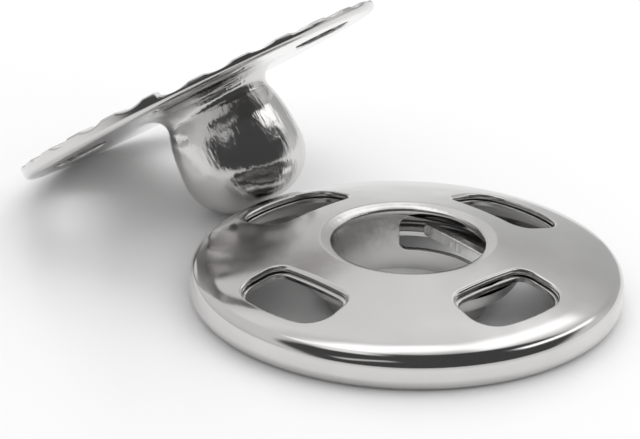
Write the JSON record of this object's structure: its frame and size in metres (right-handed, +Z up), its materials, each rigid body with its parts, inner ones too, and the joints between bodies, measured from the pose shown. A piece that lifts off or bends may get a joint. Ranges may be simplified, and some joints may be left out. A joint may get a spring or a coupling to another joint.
{
  "type": "sew-on snap fastener",
  "caption": "Round metal press stud to sew on: a domed socket half with a spring across its open throat, and a stud half tipped over beside it.",
  "frame": {"origin": "on the socket half's axis, level with the underside that it lies on", "axes": "+Z up along the socket half's axis, out of its mating face; -Y towards the viewer"},
  "size_m": [0.0212, 0.0221, 0.0085],
  "materials": {
    "plated_sheet": "polished nickel plate",
    "spring_steel": "drawn and plated"
  },
  "bodies": {
    "socket_half": {"socket_shell": "plated_sheet", "back_plate": "plated_sheet", "s_spring": "spring_steel"},
    "loose_stud_half": {"stud_half": "plated_sheet"}
  },
  "joints": [
    {"name": "stud_half_lift", "type": "slide", "parent": "socket_half", "child": "loose_stud_half", "axis": [0, 0, 1], "range_m": [0, 0.012]}
  ]
}
